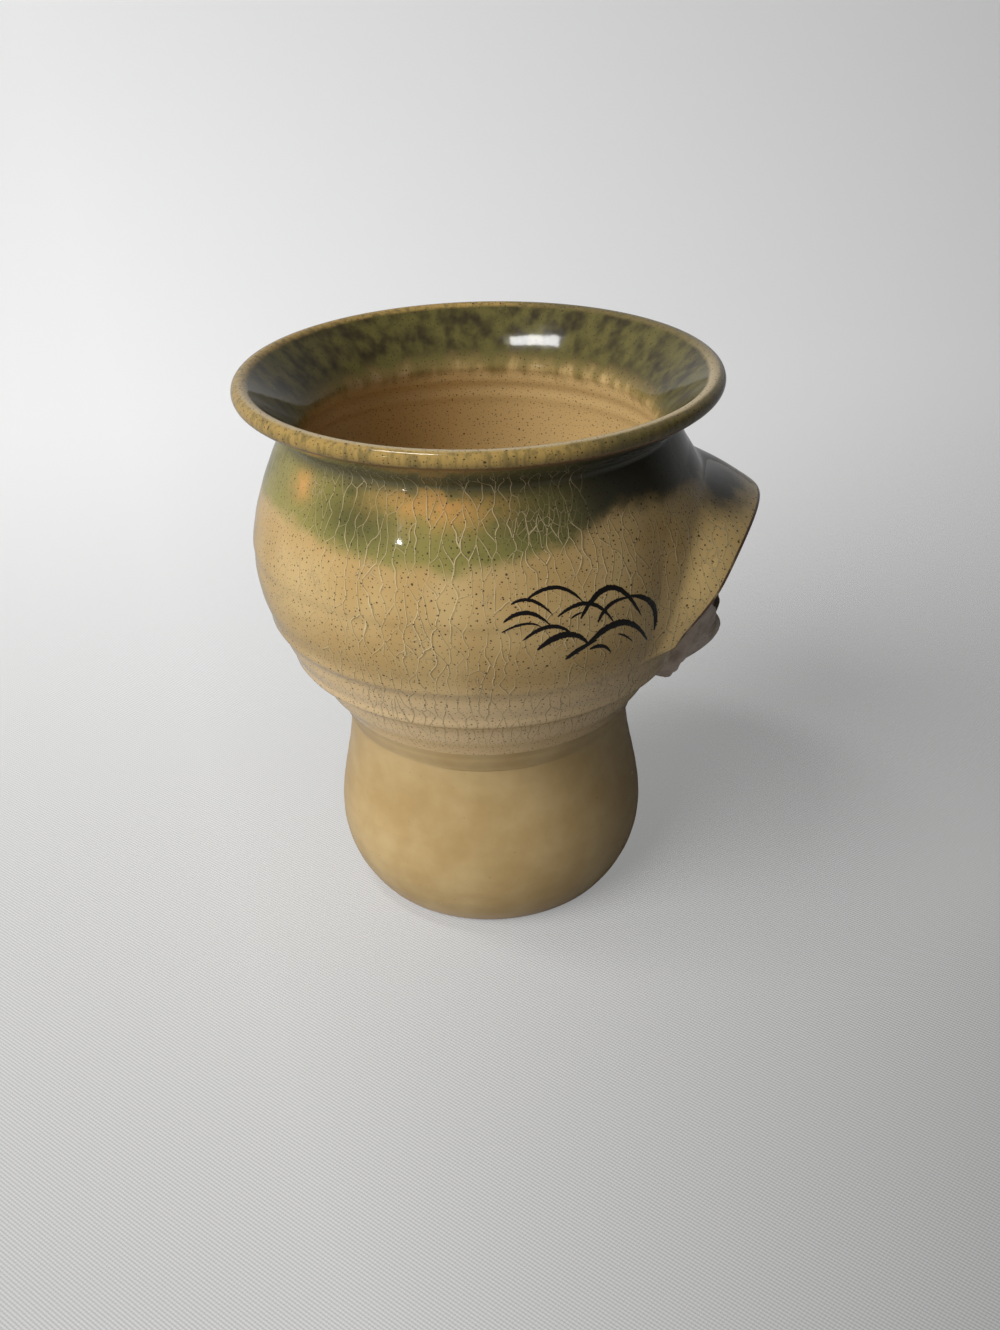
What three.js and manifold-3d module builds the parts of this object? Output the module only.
// A stoneware face mug: a hollow foot, a round bowl with a flared lip, and a hooded face on its wall.
// The pieces are the potter's: thrown, rolled or pressed apart, then joined with slip and glazed over.
// Millimetres, +Z up, origin on the mug's axis at the table. The face looks along -Y.
import * as THREE from "three";
import { mergeVertices } from "three/addons/utils/BufferGeometryUtils.js";
import Module from "manifold-3d";

// Foot: a bulb thrown by itself, with its own floor and an open mouth.
const baseRadius = 25.1;
const baseRounding = 1.2;
const bulbRadius = 31.0;
const bulbHeight = 15.3;
const waistRadius = 27.9;
const waistHeight = 37.6;
const footWall = 4.2;
const footFloor = 5.0;
const footFillet = 4.0;
const ventDiameter = 3.6;
const ventOffset = 10;

// Bowl: its underside closes the foot, and a turned boss drops into the foot's mouth.
const bowlHeight = 41.0;
const bossDepth = 3.0;
const creaseRadius = 28.9;
const grooveRadius = 37.6;
const grooveHeight = 54.0;
const bellyRadius = 43.7;
const bellyHeight = 73.0;
const neckRadius = 36.3;
const neckHeight = 97.4;
const rimRadius = 45.0;
const mugHeight = 107.55;
const lipThickness = 3.7;
const lipSlope = 40;
const bowlWall = 4.0;
const bowlFloor = 5.0;
const bowlFillet = 7.0;

// Coil of soft clay pressed into the joint of foot and bowl.
const coilSize = 1.8;

// Cowl: a slab that leaves the wall tangent to it and stands out as a pointed arch over the face.
const cowlHalfWidth = 30.0;
const cowlTop = 81.3;
const cowlSpring = 63.5;
const cowlReach = 11.2;
const cowlTaper = 6.5;
const cowlTuck = 2.2;
const cowlSlab = 2.3;
const cowlRootDrop = 2.4;
const cowlRootAngle = 54;
const cowlEndSpread = 5.8;
const cowlEndDrop = 3.5;
const cowlEndAngle = 5;
const cowlFeather = 0.6;
const cowlValley = 0.35;

// Face: thirds from hairline to brow to nose to chin, and five eye widths across.
const chinHeight = 50.0;
const faceHeight = 28.5;
const faceWidth = 21.0;
const headReach = 3.2;
const jawDepth = 8.3;
const jawEdge = 4.5;
const eyeOpening = 1.5;
const lidWidth = 0.7;
const lidHeight = 1.1;
const eyeballHeight = 0.75;
const noseHeight = 3.1;
const browWidth = 1.3;
const browHeight = 0.9;
const mouthWidth = 7.4;
const upperLipWidth = 1.0;
const lowerLipWidth = 1.3;
const lipHeight = 0.9;
const moustacheWidth = 1.1;
const moustacheHeight = 1.0;
const beardHeight = 1.9;

// Clearances: what is luted together keeps a film of slip this thick between its two pieces.
const slip = 0.3;
const edgeHeight = 0.3;

// How finely the round forms, the cowl and the mask are divided.
const turns = 48;
const cowlColumns = 36;
const cowlRows = 7;
const maskSectors = 36;
const maskRings = 9;

const lerp = THREE.MathUtils.lerp;
const smooth = (t) => THREE.MathUtils.smoothstep(t, 0, 1);
const wave = (t) => Math.sin(Math.PI * t);
const bump = (x, z, wide, high) => Math.exp(-(x * x) / (wide * wide) - (z * z) / (high * high));

// Outer wall of foot and bowl: stations with the slope of the wall below and above each.
const wallStations = [
  { z: 0, r: baseRadius, above: 0.85 },
  { z: bulbHeight, r: bulbRadius, below: 0, above: 0 },
  { z: waistHeight, r: waistRadius, below: 0, above: 0 },
  { z: bowlHeight, r: creaseRadius, below: 0.25, above: 0.55 },
  { z: grooveHeight, r: grooveRadius, below: 0.75, above: 0.5 },
  { z: bellyHeight, r: bellyRadius, below: 0, above: 0 },
  { z: neckHeight, r: neckRadius, below: -0.55 },
];

// Radius of the outer wall at a height, a smooth cubic between each two stations.
function wallRadius(height) {
  let i = 0;
  while (i < wallStations.length - 2 && height > wallStations[i + 1].z) {
    i += 1;
  }
  const low = wallStations[i];
  const high = wallStations[i + 1];
  const span = high.z - low.z;
  const t = (height - low.z) / span;
  const square = t * t;
  const cube = square * t;
  return (
    low.r * (2 * cube - 3 * square + 1) +
    high.r * (3 * square - 2 * cube) +
    low.above * span * (cube - 2 * square + t) +
    high.below * span * (cube - square)
  );
}

// Radius of the inner face of a wall of a given thickness, measured square to the wall.
function innerRadius(height, wall) {
  const step = 0.5;
  const slope = (wallRadius(height + step) - wallRadius(height - step)) / (2 * step);
  return wallRadius(height) - wall * Math.hypot(1, slope);
}

// How far in front of the mug's axis its wall stands, at a place of the face.
function wallDepth(x, z) {
  const r = wallRadius(z);
  return Math.sqrt(Math.max(r * r - x * x, 0));
}

const heights = (from, to, count) => Array.from({ length: count + 1 }, (_, i) => lerp(from, to, i / count));
const vector = (x, y) => new THREE.Vector2(x, y);
const along = (curve, count) => curve.getPoints(count);

// A quarter round from a floor up to a wall.
function floorFillet(floor, wallX, size) {
  const from = vector(wallX - size, floor);
  const corner = vector(wallX, floor);
  const to = vector(wallX, floor + size);
  return along(new THREE.QuadraticBezierCurve(from, corner, to), 4);
}

// Drops points that lie on top of the one before.
function distinct(points) {
  return points.filter((point, i) => i === 0 || point.distanceTo(points[i - 1]) > 0.01);
}

function positionsOnly(geometry) {
  const bare = new THREE.BufferGeometry();
  bare.setAttribute("position", geometry.getAttribute("position"));
  bare.setIndex(geometry.getIndex());
  return mergeVertices(bare, 1e-4);
}

// Turns a closed surface so that its faces point out.
function facingOut(geometry) {
  const position = geometry.getAttribute("position");
  const index = geometry.getIndex().array;
  const [a, b, c] = [new THREE.Vector3(), new THREE.Vector3(), new THREE.Vector3()];
  let volume = 0;
  for (let i = 0; i < index.length; i += 3) {
    a.fromBufferAttribute(position, index[i]);
    b.fromBufferAttribute(position, index[i + 1]);
    c.fromBufferAttribute(position, index[i + 2]);
    volume += a.dot(b.cross(c));
  }
  if (volume < 0) {
    for (let i = 0; i < index.length; i += 3) {
      [index[i + 1], index[i + 2]] = [index[i + 2], index[i + 1]];
    }
  }
  return geometry;
}

// A solid of revolution about the mug's axis, from a profile of radius and height.
function turned(points) {
  const lathe = new THREE.LatheGeometry(distinct(points), turns);
  lathe.rotateX(Math.PI / 2);
  const solid = positionsOnly(lathe);
  return facingOut(withoutSlivers(solid));
}

// A lathe leaves triangles of no area where its profile meets the axis.
function withoutSlivers(geometry) {
  const index = geometry.getIndex().array;
  const kept = [];
  for (let i = 0; i < index.length; i += 3) {
    const [a, b, c] = [index[i], index[i + 1], index[i + 2]];
    if (a !== b && b !== c && c !== a) {
      kept.push(a, b, c);
    }
  }
  geometry.setIndex(kept);
  return geometry;
}

// A closed solid between two grids of points that share their outline.
function gridSolid(front, back, columns, rows) {
  const positions = [];
  const faces = [];
  const place = (side, i, j) => (side * (columns + 1) + i) * (rows + 1) + j;
  for (const surface of [front, back]) {
    for (let i = 0; i <= columns; i += 1) {
      for (let j = 0; j <= rows; j += 1) {
        positions.push(...surface(i / columns, j / rows));
      }
    }
  }
  const quad = (a, b, c, d) => faces.push(a, b, c, a, c, d);
  for (let i = 0; i < columns; i += 1) {
    for (let j = 0; j < rows; j += 1) {
      quad(place(0, i, j), place(0, i + 1, j), place(0, i + 1, j + 1), place(0, i, j + 1));
      quad(place(1, i, j), place(1, i, j + 1), place(1, i + 1, j + 1), place(1, i + 1, j));
    }
  }
  for (let i = 0; i < columns; i += 1) {
    quad(place(0, i, 0), place(1, i, 0), place(1, i + 1, 0), place(0, i + 1, 0));
    quad(place(0, i + 1, rows), place(1, i + 1, rows), place(1, i, rows), place(0, i, rows));
  }
  for (let j = 0; j < rows; j += 1) {
    quad(place(0, 0, j + 1), place(1, 0, j + 1), place(1, 0, j), place(0, 0, j));
    quad(place(0, columns, j), place(1, columns, j), place(1, columns, j + 1), place(0, columns, j + 1));
  }
  const geometry = new THREE.BufferGeometry();
  geometry.setAttribute("position", new THREE.Float32BufferAttribute(positions, 3));
  geometry.setIndex(faces);
  return facingOut(geometry);
}

// A closed solid between two discs of points, given by their turn and their distance from the middle.
function discSolid(front, back, sectors, rings) {
  const positions = [];
  const faces = [];
  const size = 1 + sectors * rings;
  for (const surface of [front, back]) {
    positions.push(...surface(0, 0));
    for (let j = 1; j <= rings; j += 1) {
      for (let i = 0; i < sectors; i += 1) {
        positions.push(...surface(i / sectors, j / rings));
      }
    }
  }
  const place = (side, i, j) => side * size + (j === 0 ? 0 : 1 + (j - 1) * sectors + (i % sectors));
  for (let i = 0; i < sectors; i += 1) {
    faces.push(place(0, i, 0), place(0, i, 1), place(0, i + 1, 1));
    faces.push(place(1, i, 0), place(1, i + 1, 1), place(1, i, 1));
    for (let j = 1; j < rings; j += 1) {
      faces.push(place(0, i, j), place(0, i, j + 1), place(0, i + 1, j + 1));
      faces.push(place(0, i, j), place(0, i + 1, j + 1), place(0, i + 1, j));
      faces.push(place(1, i, j), place(1, i + 1, j + 1), place(1, i, j + 1));
      faces.push(place(1, i, j), place(1, i + 1, j), place(1, i + 1, j + 1));
    }
    faces.push(place(0, i, rings), place(1, i, rings), place(1, i + 1, rings));
    faces.push(place(0, i, rings), place(1, i + 1, rings), place(0, i + 1, rings));
  }
  const geometry = new THREE.BufferGeometry();
  geometry.setAttribute("position", new THREE.Float32BufferAttribute(positions, 3));
  geometry.setIndex(faces);
  return facingOut(geometry);
}

const wasm = await Module();
wasm.setup();

function toManifold(geometry) {
  const solid = positionsOnly(geometry);
  const vertProperties = new Float32Array(solid.getAttribute("position").array);
  const triVerts = new Uint32Array(solid.getIndex().array);
  return new wasm.Manifold(new wasm.Mesh({ numProp: 3, vertProperties, triVerts }));
}

function cutAway(geometry, tool) {
  const mesh = toManifold(geometry).subtract(toManifold(tool)).getMesh();
  const result = new THREE.BufferGeometry();
  result.setAttribute("position", new THREE.BufferAttribute(mesh.vertProperties, 3));
  result.setIndex(new THREE.BufferAttribute(mesh.triVerts, 1));
  return result;
}

// Foot
const footTop = bowlHeight - slip;
const chamferFoot = footTop - coilSize;
const chamferRadius = wallRadius(chamferFoot);
const mouthRadius = chamferRadius - footWall;

function footGeometry() {
  const base = along(
    new THREE.QuadraticBezierCurve(
      vector(baseRadius - baseRounding, 0),
      vector(baseRadius, 0),
      vector(wallRadius(baseRounding), baseRounding),
    ),
    3,
  );
  const outside = heights(baseRounding, chamferFoot, 13).map((z) => vector(wallRadius(z), z));
  const hollowFoot = footFloor + footFillet;
  const inside = heights(chamferFoot, hollowFoot, 9).map((z) => vector(innerRadius(z, footWall), z));
  const profile = [
    vector(0, 0),
    ...base,
    ...outside,
    vector(chamferRadius - coilSize, footTop),
    vector(mouthRadius, footTop),
    ...inside,
    ...floorFillet(footFloor, innerRadius(hollowFoot, footWall), footFillet).reverse(),
    vector(0, footFloor),
  ];
  const vent = new THREE.CylinderGeometry(ventDiameter / 2, ventDiameter / 2, footFloor * 3, 12);
  vent.rotateX(Math.PI / 2);
  vent.translate(0, ventOffset, footFloor / 2);
  return cutAway(turned(profile), vent);
}

// Bowl
const lipRound = lipThickness / 2;
const lipAngle = THREE.MathUtils.degToRad(lipSlope);
const lipMiddle = vector(rimRadius - lipRound, mugHeight - lipRound);
const flareDirection = vector(Math.cos(lipAngle), Math.sin(lipAngle));
const neckDirection = vector(-0.48, 0.88);
const bossRadius = mouthRadius - slip;

const stepFrom = (point, direction, distance) => point.clone().addScaledVector(direction, distance);
const onLip = (angle) => vector(lipMiddle.x + lipRound * Math.cos(angle), lipMiddle.y + lipRound * Math.sin(angle));

function bowlGeometry() {
  const underLip = onLip(lipAngle - Math.PI / 2);
  const overLip = onLip(lipAngle + Math.PI / 2);
  const neck = vector(neckRadius, neckHeight);
  const flare = lipMiddle.x - neckRadius;
  const outerFlare = new THREE.CubicBezierCurve(
    neck,
    stepFrom(neck, neckDirection, lipThickness / 2),
    stepFrom(underLip, flareDirection, -flare * 0.8),
    underLip,
  );
  const innerNeckHeight = neckHeight - lipThickness / 3;
  const innerNeck = vector(innerRadius(innerNeckHeight, bowlWall), innerNeckHeight);
  const innerFlare = new THREE.CubicBezierCurve(
    overLip,
    stepFrom(overLip, flareDirection, -flare * 0.8),
    stepFrom(innerNeck, neckDirection, lipThickness * 0.7),
    innerNeck,
  );
  const roll = heights(lipAngle - Math.PI / 2, lipAngle + Math.PI / 2, 7).map(onLip);
  const outside = heights(bowlHeight, neckHeight, 17).map((z) => vector(wallRadius(z), z));
  const floor = bowlHeight + bowlFloor;
  const filletTop = floor + bowlFillet * 0.6;
  const inside = heights(innerNeckHeight, filletTop, 12).map((z) => vector(innerRadius(z, bowlWall), z));
  const wallFoot = innerRadius(filletTop, bowlWall);
  const innerFloor = new THREE.QuadraticBezierCurve(
    vector(wallFoot, filletTop),
    vector(wallFoot - bowlFillet * 0.4, floor),
    vector(wallFoot - bowlFillet * 1.4, floor),
  );
  return turned([
    vector(0, bowlHeight - bossDepth),
    vector(bossRadius, bowlHeight - bossDepth),
    vector(bossRadius, bowlHeight),
    ...outside,
    ...along(outerFlare, 6),
    ...roll,
    ...along(innerFlare, 6),
    ...inside,
    ...along(innerFloor, 4),
    vector(0, floor),
  ]);
}

// Luting coil: fills the chamfer at the foot's mouth, a film of slip from foot and bowl.
function coilGeometry() {
  const film = slip * Math.SQRT2;
  const top = bowlHeight - slip;
  const outerTop = creaseRadius - slip / 2;
  const bottom = chamferFoot + film;
  const section = [
    vector(chamferRadius - coilSize + film, top),
    vector(chamferRadius, bottom),
    vector(lerp(chamferRadius, outerTop, 0.3), lerp(bottom, top, 0.5)),
    vector(outerTop, top),
  ];
  return turned([...section, section[0].clone()]);
}

// Cowl: half is an arch over the face, and each end flares out and dies into the wall.
const cowlRise = cowlTop - cowlSpring;
const cowlRootTop = neckHeight - cowlRootDrop;
const cowlEndHeight = cowlSpring - cowlEndDrop;
const archShare = 0.76;

// Edge and root of the cowl at a place along it, from -1 at its right end to 1 at its left.
function cowlPlan(s) {
  const side = Math.sign(s) || 1;
  const run = Math.abs(s);
  const archPower = 0.6;
  const springReach = cowlReach - cowlTaper - cowlTuck;
  if (run <= archShare) {
    const turn = (run / archShare) * (Math.PI / 2);
    const aside = Math.sin(turn) ** archPower;
    const rise = Math.max(Math.cos(turn), 0);
    const reach = cowlReach - cowlTaper * aside - cowlTuck * aside ** 24;
    const x = cowlHalfWidth * aside;
    const z = cowlSpring + cowlRise * rise;
    const rootZ = cowlSpring + (cowlRootTop - cowlSpring) * rise ** archPower;
    const rootAngle = cowlRootAngle * aside;
    return { side, x, z, reach, rootAngle, rootZ };
  }
  const turn = ((run - archShare) / (1 - archShare)) * (Math.PI / 2);
  const x = cowlHalfWidth + cowlEndSpread * (1 - Math.cos(turn));
  const z = cowlSpring - cowlEndDrop * Math.sin(turn);
  const reach = lerp(springReach, cowlFeather + slip, smooth(Math.sin(turn)));
  const endAngle = THREE.MathUtils.radToDeg(
    Math.asin((cowlHalfWidth + cowlEndSpread) / wallRadius(cowlEndHeight)),
  );
  const rootAngle = lerp(cowlRootAngle, endAngle + cowlEndAngle, 1 - Math.cos(turn));
  const rootZ = cowlSpring - (cowlEndDrop + cowlFeather) * Math.sin(turn);
  return { side, x, z, reach, rootAngle, rootZ };
}

// A point of the cowl's outer face: u runs along the arch, v from its root to its free edge.
// It keeps to the wall up to a valley, and stands out from there.
function cowlOuter(u, v) {
  const plan = cowlPlan(lerp(-1, 1, u));
  const edgeRadius = wallRadius(plan.z) + plan.reach;
  const edgeAngle = Math.asin(plan.x / edgeRadius);
  const angle = lerp(THREE.MathUtils.degToRad(plan.rootAngle), edgeAngle, v);
  const z = lerp(plan.rootZ, plan.z, v);
  const out = Math.max((v - cowlValley) / (1 - cowlValley), 0);
  const rise = out * out * (2 - out);
  const proud = lerp(cowlFeather + slip, plan.reach, rise);
  const radius = wallRadius(z) + proud;
  return [plan.side * radius * Math.sin(angle), -radius * Math.cos(angle), z];
}

// The cowl's inner face: one slab thickness in, but never nearer to the wall than the slip.
function cowlInner(u, v) {
  const step = 0.02;
  const within = (t) => THREE.MathUtils.clamp(t, 0, 1);
  const at = (a, b) => new THREE.Vector3(...cowlOuter(within(a), within(b)));
  const here = at(u, v);
  const radius = Math.hypot(here.x, here.y);
  const outward = new THREE.Vector3(here.x / radius, here.y / radius, 0);
  const acrossU = at(u + step, v).sub(at(u - step, v));
  const acrossV = at(u, v + step).sub(at(u, v - step));
  const facing = Math.abs(acrossU.cross(acrossV).normalize().dot(outward));
  const through = cowlSlab / Math.max(facing, 0.5);
  const inner = Math.max(radius - through, wallRadius(here.z) + slip);
  return [outward.x * inner, outward.y * inner, here.z];
}

// Face
const third = faceHeight / 3;
const noseBase = chinHeight + third;
const browLine = noseBase + third;
const eyeLine = chinHeight + 1.75 * third;
const mouthLine = noseBase - third / 3;
const eyeWidth = faceWidth / 5;
const eyePlace = eyeWidth;
const maskTop = chinHeight + faceHeight;
const maskBottom = chinHeight - jawDepth;
const maskMiddle = browLine - third / 2;
const maskHalfWidth = faceWidth / 2 + 1.2;
const maskFeather = slip + 0.6;

// Place on the mask's outline plan: a full turn round its middle, and a share of the way out.
function maskPlan(turn, share) {
  const angle = turn * 2 * Math.PI;
  const [c, s] = [Math.cos(angle), Math.sin(angle)];
  const power = s < 0 ? 0.9 : 1;
  const halfHeight = s < 0 ? maskMiddle - maskBottom : maskTop - maskMiddle;
  const x = maskHalfWidth * share * Math.sign(c) * Math.abs(c) ** power;
  const z = maskMiddle + halfHeight * share * Math.sign(s) * Math.abs(s) ** power;
  return [x, z];
}

// How far the mask's outline stands proud of the wall: the jaw overhangs it, the sides die into it.
function maskEdge(z) {
  const down = THREE.MathUtils.clamp((maskMiddle - z) / (maskMiddle - maskBottom), 0, 1);
  return maskFeather + jawEdge * down * down;
}

// How far the middle of the face stands before the mug's axis, from under the jaw up to the hairline.
function profileDepth(z) {
  const wall = (height) => wallRadius(height) + maskEdge(height);
  const front = wallRadius(maskMiddle) + headReach;
  const stations = [
    [maskBottom, wall(maskBottom) + 1.2],
    [chinHeight - jawDepth * 0.55, front - 5.2],
    [chinHeight, front - 1.0],
    [mouthLine, front],
    [eyeLine, front - 0.5],
    [browLine + third / 3, front],
    [maskTop, wall(maskTop)],
  ];
  let i = 0;
  while (i < stations.length - 2 && z > stations[i + 1][0]) {
    i += 1;
  }
  const at = (k) => stations[THREE.MathUtils.clamp(k, 0, stations.length - 1)];
  const slope = (k) => (at(k + 1)[1] - at(k - 1)[1]) / (at(k + 1)[0] - at(k - 1)[0]);
  const [low, high] = [at(i), at(i + 1)];
  const span = high[0] - low[0];
  const t = (z - low[0]) / span;
  return (
    low[1] * (2 * t ** 3 - 3 * t ** 2 + 1) +
    high[1] * (3 * t ** 2 - 2 * t ** 3) +
    slope(i) * span * (t ** 3 - 2 * t ** 2 + t) +
    slope(i + 1) * span * (t ** 3 - t ** 2)
  );
}

// Half the mask's width at a height.
function maskHalf(z) {
  const high = z >= maskMiddle;
  const share = Math.min(Math.abs(z - maskMiddle) / (high ? maskTop - maskMiddle : maskMiddle - maskBottom), 1);
  const power = high ? 1 : 0.9;
  return maskHalfWidth * Math.max(1 - share ** (2 / power), 0) ** (power / 2);
}

// Front of the bare mask at a place: a rounded form with hollows for the eyes and mounds at cheeks and mouth.
function faceDepth(x, z) {
  const half = Math.max(maskHalf(z), 0.01);
  const out = Math.min(Math.abs(x) / half, 1);
  const fall = (1 - out ** 2.4) ** 0.55;
  const base = wallDepth(x, z) + maskEdge(z);
  const relief = Math.max(profileDepth(z) - wallRadius(z) - maskEdge(z), 0);
  const side = Math.abs(x);
  const details =
    0.5 * bump(side - eyePlace * 1.35, z - noseBase - third * 0.15, eyeWidth, third * 0.35) +
    0.4 * bump(x, z - mouthLine, eyeWidth, third * 0.35) -
    0.9 * bump(side - eyePlace, z - eyeLine, eyeWidth * 0.62, third * 0.2);
  return base + relief * fall + details * fall;
}

const facePoint = (x, z, depth) => [x, -depth, z];

function maskGeometry() {
  const front = (turn, share) => {
    const [x, z] = maskPlan(turn, share);
    return facePoint(x, z, faceDepth(x, z));
  };
  const back = (turn, share) => {
    const [x, z] = maskPlan(turn, share);
    return facePoint(x, z, wallDepth(x, z) + slip);
  };
  return discSolid(front, back, maskSectors, maskRings);
}

// A piece laid on the mask: a plan of places, and its height above the slip at each.
function laidOn(plan, height, columns, rows) {
  const front = (u, v) => {
    const [x, z] = plan(u, v);
    return facePoint(x, z, faceDepth(x, z) + slip + height(u, v));
  };
  const back = (u, v) => {
    const [x, z] = plan(u, v);
    return facePoint(x, z, faceDepth(x, z) + slip);
  };
  return gridSolid(front, back, columns, rows);
}

const dome = (v) => Math.sqrt(Math.max(1 - (2 * v - 1) ** 2, 0));
const swell = (full) => (u, v) => edgeHeight + (full - edgeHeight) * dome(v) * wave(lerp(0.12, 0.88, u));

function noseGeometry() {
  const bridge = eyeLine + third * 0.12;
  const half = (u) => lerp(eyeWidth * 0.2, eyeWidth * 0.5, smooth(u) ** 1.4);
  const plan = (u, v) => [half(u) * (2 * v - 1), lerp(bridge, noseBase, u)];
  const height = (u, v) => edgeHeight + noseHeight * lerp(0.12, 0.92, u ** 1.3) * dome(v) ** 1.1;
  return laidOn(plan, height, 9, 8);
}

// Half the eye's opening at a share of its width.
const eyeHalf = (u) => 0.12 + (eyeOpening / 2 - 0.12) * wave(u) ** 0.8;
const lidHalf = (u) => (lidWidth / 2) * (0.45 + 0.55 * wave(u));
const eyeX = (side, u) => side * (eyePlace + eyeWidth * (u - 0.5));

function eyeballGeometry(side) {
  const plan = (u, v) => [eyeX(side, u), eyeLine + eyeHalf(u) * (2 * v - 1)];
  return laidOn(plan, swell(eyeballHeight), 8, 4);
}

function lidGeometry(side, upper) {
  const way = upper ? 1 : -1;
  const full = upper ? 1 : 0.75;
  const plan = (u, v) => {
    const half = lidHalf(u) * full;
    return [eyeX(side, u), eyeLine + way * (eyeHalf(u) + slip + half + half * (2 * v - 1))];
  };
  return laidOn(plan, swell(lidHeight * full), 8, 3);
}

function browGeometry(side) {
  const [inner, outer] = [eyeWidth * 0.42, eyeWidth * 1.75];
  const half = (u) => (browWidth / 2) * (0.35 + 0.65 * wave(lerp(0.2, 1, u)));
  const plan = (u, v) => [
    side * lerp(inner, outer, u),
    browLine + third * 0.1 * wave(lerp(0.1, 1, u)) + half(u) * (2 * v - 1),
  ];
  return laidOn(plan, swell(browHeight), 9, 3);
}

function lipGeometry(upper) {
  const width = upper ? upperLipWidth : lowerLipWidth;
  const way = upper ? 1 : -1;
  const bow = (u) => (upper ? 1 - 0.16 * bump(u - 0.5, 0, 0.09, 1) : 1);
  const half = (u) => (width / 2) * (0.3 + 0.7 * wave(u)) * bow(u);
  const plan = (u, v) => [
    mouthWidth * (u - 0.5),
    mouthLine + way * (slip / 2 + half(u) + half(u) * (2 * v - 1)),
  ];
  return laidOn(plan, swell(lipHeight), 10, 3);
}

const moustacheEnd = vector(mouthWidth * 0.8, mouthLine - third * 0.15);

function moustacheGeometry(side) {
  const from = vector(slip + 0.2, noseBase - slip - moustacheWidth / 2);
  const path = new THREE.QuadraticBezierCurve(from, vector(mouthWidth * 0.76, from.y), moustacheEnd);
  const half = (u) => (moustacheWidth / 2) * (0.4 + 0.6 * wave(lerp(0.12, 0.95, u)));
  const plan = (u, v) => {
    const point = path.getPoint(u);
    const tangent = path.getTangent(u);
    const off = half(u) * (2 * v - 1);
    return [side * (point.x - tangent.y * off), point.y + tangent.x * off];
  };
  return laidOn(plan, swell(moustacheHeight), 8, 3);
}

// The bare patch round mouth and moustache that the beard leaves free.
const bareHalfWidth = (moustacheEnd.x + moustacheWidth / 2) * 1.1 + slip;
const bareHalfHeight = (noseBase - moustacheEnd.y + moustacheWidth / 2) / 0.85 + slip;

// How far out from the mask's middle the bare patch ends, on a given turn.
function bareShare(turn) {
  let [inside, outside] = [0, 1];
  for (let i = 0; i < 16; i += 1) {
    const share = (inside + outside) / 2;
    const [x, z] = maskPlan(turn, share);
    const out = (x / bareHalfWidth) ** 4 + ((z - noseBase) / bareHalfHeight) ** 4;
    if (out < 1) {
      inside = share;
    } else {
      outside = share;
    }
  }
  return outside;
}

function beardGeometry() {
  const ends = 0.02;
  const plan = (u, v) => {
    const turn = lerp(0.5 + ends, 1 - ends, u);
    const inner = Math.max(bareShare(turn), 0.86 - 0.9 * wave(u) ** 1.2);
    return maskPlan(turn, lerp(inner, 0.96, v));
  };
  const height = (u, v) => edgeHeight + (beardHeight - edgeHeight) * dome(v) * (0.25 + 0.75 * wave(u));
  return laidOn(plan, height, 18, 6);
}

// The mug: every piece with its own clay or glaze colour.
const glaze = { color: 0xb4945c, roughness: 0.18, metalness: 0 };
const footGlaze = { color: 0xb59761, roughness: 0.25, metalness: 0 };
const barePaste = { color: 0x9d8676, roughness: 0.75, metalness: 0 };
const beardPaste = { color: 0xa08c80, roughness: 0.8, metalness: 0 };
const darkWash = { color: 0x3f3833, roughness: 0.7, metalness: 0 };
const eyeGlaze = { color: 0xaa9e8b, roughness: 0.2, metalness: 0 };

const mug = new THREE.Group();

function add(name, geometry, finish) {
  const mesh = new THREE.Mesh(geometry, new THREE.MeshStandardMaterial(finish));
  mesh.name = name;
  mug.add(mesh);
}

add("foot", footGeometry(), footGlaze);
add("bowl", bowlGeometry(), glaze);
add("luting_coil", coilGeometry(), footGlaze);
add("cowl", gridSolid(cowlOuter, cowlInner, cowlColumns, cowlRows), glaze);
add("face_mask", maskGeometry(), barePaste);
add("nose", noseGeometry(), barePaste);
add("upper_lip", lipGeometry(true), barePaste);
add("lower_lip", lipGeometry(false), barePaste);
add("beard", beardGeometry(), beardPaste);
for (const [word, side] of [["left", 1], ["right", -1]]) {
  add(`eyeball_${word}`, eyeballGeometry(side), eyeGlaze);
  add(`upper_lid_${word}`, lidGeometry(side, true), barePaste);
  add(`lower_lid_${word}`, lidGeometry(side, false), barePaste);
  add(`brow_${word}`, browGeometry(side), darkWash);
  add(`moustache_${word}`, moustacheGeometry(side), darkWash);
}

export default mug;
